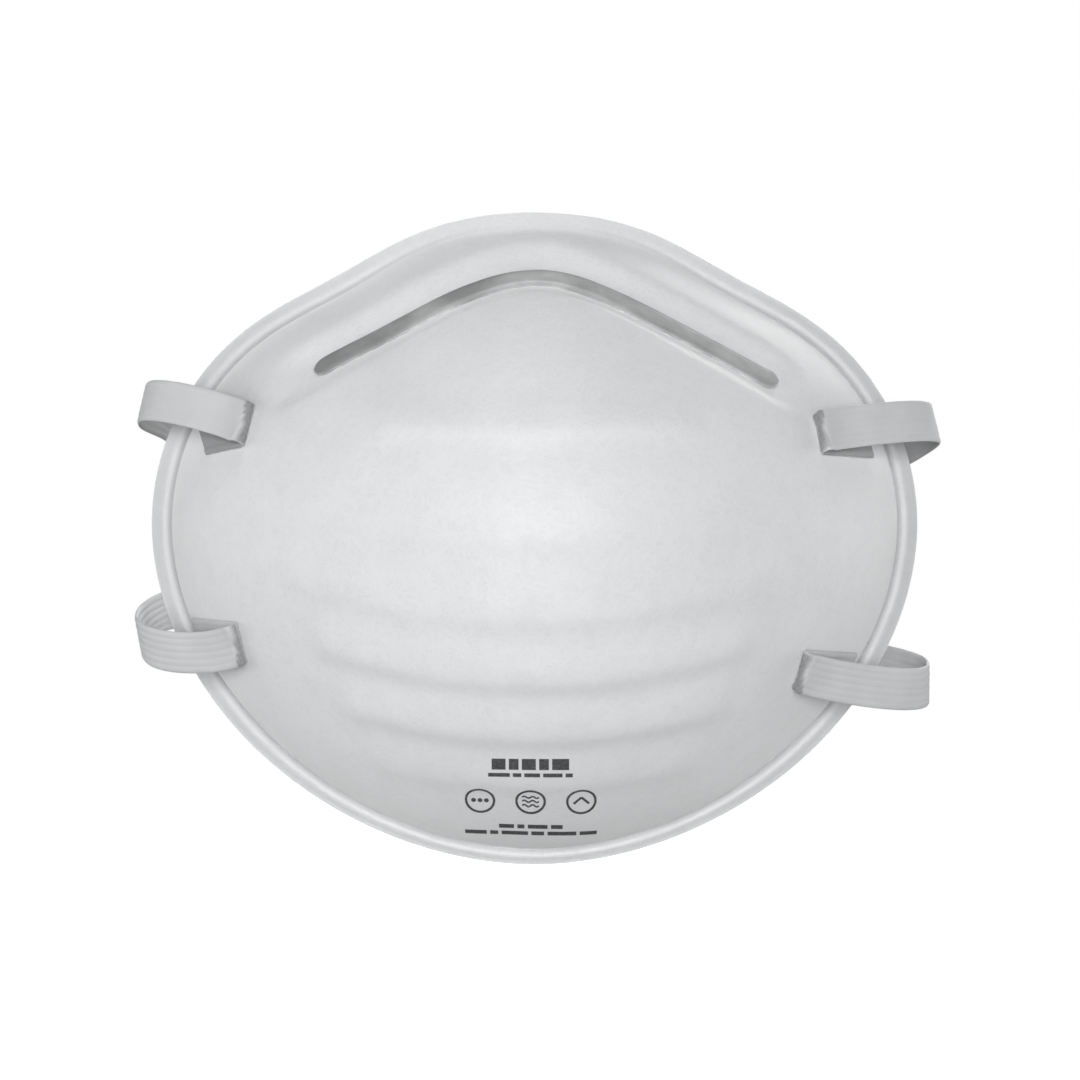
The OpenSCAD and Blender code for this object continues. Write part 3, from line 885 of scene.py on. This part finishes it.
left_foot, peak, right_foot = ((RING_GAP + x, RING_Z + z) for x, z in ((-1.3, -0.5), (0, 0.8), (1.3, -0.5)))
mark += [stroke([left_foot, peak], LINE_HALF), stroke([peak, right_foot], LINE_HALF)]
mark += [bar for row in LOW_ROWS for bar in dashes(*row)]
points, faces = [], []
for sections in mark:
    faces += loft_faces(len(sections[0]), len(sections), len(points))
    points += [p for section in sections for p in section]
ink = make_mesh("printed_mark", points, faces, "mask", ink_paint)
sharpen(ink, 40)

# ---------------------------------------------------------------- stage and light

FLOOR_DROP, FLOOR_HALF = 0.12, 4.0
floor_z = cad_box[0].z - FLOOR_DROP
corners = [(x * FLOOR_HALF, y * FLOOR_HALF, floor_z) for x, y in ((-1, -1), (1, -1), (1, 1), (-1, 1))]
floor = bpy.data.meshes.new("floor")
floor.from_pydata(corners, [], [(0, 1, 2, 3)])
floor_obj = bpy.data.objects.new("floor", floor)
bpy.context.scene.collection.objects.link(floor_obj)
paint = Paint("floor_white", Roughness=0.9)
paint.shader.inputs["Base Color"].default_value = (0.35, 0.35, 0.35, 1)
paint.shader.inputs["Emission Color"].default_value = (1, 1, 1, 1)
seen = paint.add("ShaderNodeLightPath").outputs["Is Camera Ray"]
paint.link(seen, paint.shader.inputs["Emission Strength"])
floor.materials.append(paint.material)

WORLD_SEEN, WORLD_LIGHT = 1.0, 0.03  # how bright the backdrop looks, and how much it lights the object
world = bpy.data.worlds.new("studio")
bpy.context.scene.world = world
world.use_nodes = True
tree = world.node_tree
back = tree.nodes["Background"]
back.inputs["Color"].default_value = (1, 1, 1, 1)
path_node = tree.nodes.new("ShaderNodeLightPath")
mix = tree.nodes.new("ShaderNodeMix")
mix.inputs["A"].default_value = WORLD_LIGHT
mix.inputs["B"].default_value = WORLD_SEEN
tree.links.new(path_node.outputs["Is Camera Ray"], mix.inputs["Factor"])
tree.links.new(mix.outputs["Result"], back.inputs["Strength"])


def area_light(name, place, size, power, target=(0, -0.02, 0)):
    data = bpy.data.lights.new(name, "AREA")
    data.size, data.energy = size, power
    obj = bpy.data.objects.new(name, data)
    bpy.context.scene.collection.objects.link(obj)
    obj.location = place
    obj.rotation_euler = (Vector(target) - Vector(place)).to_track_quat("-Z", "Y").to_euler()


area_light("front", (0.0, -1.2, 0.1), 0.45, 11.4)
area_light("above", (0.0, -0.1, 1.0), 0.5, 2.1)
area_light("left", (-1.0, -0.1, 0.0), 0.5, 2.1)
area_light("left_behind", (-1.0, 0.45, 0.0), 0.5, 1.3)
area_light("right_behind", (1.0, 0.45, 0.0), 0.5, 3.0)
area_light("behind", (0.3, 1.0, 0.5), 0.8, 11.0)

bpy.context.scene.view_settings.view_transform = "Standard"
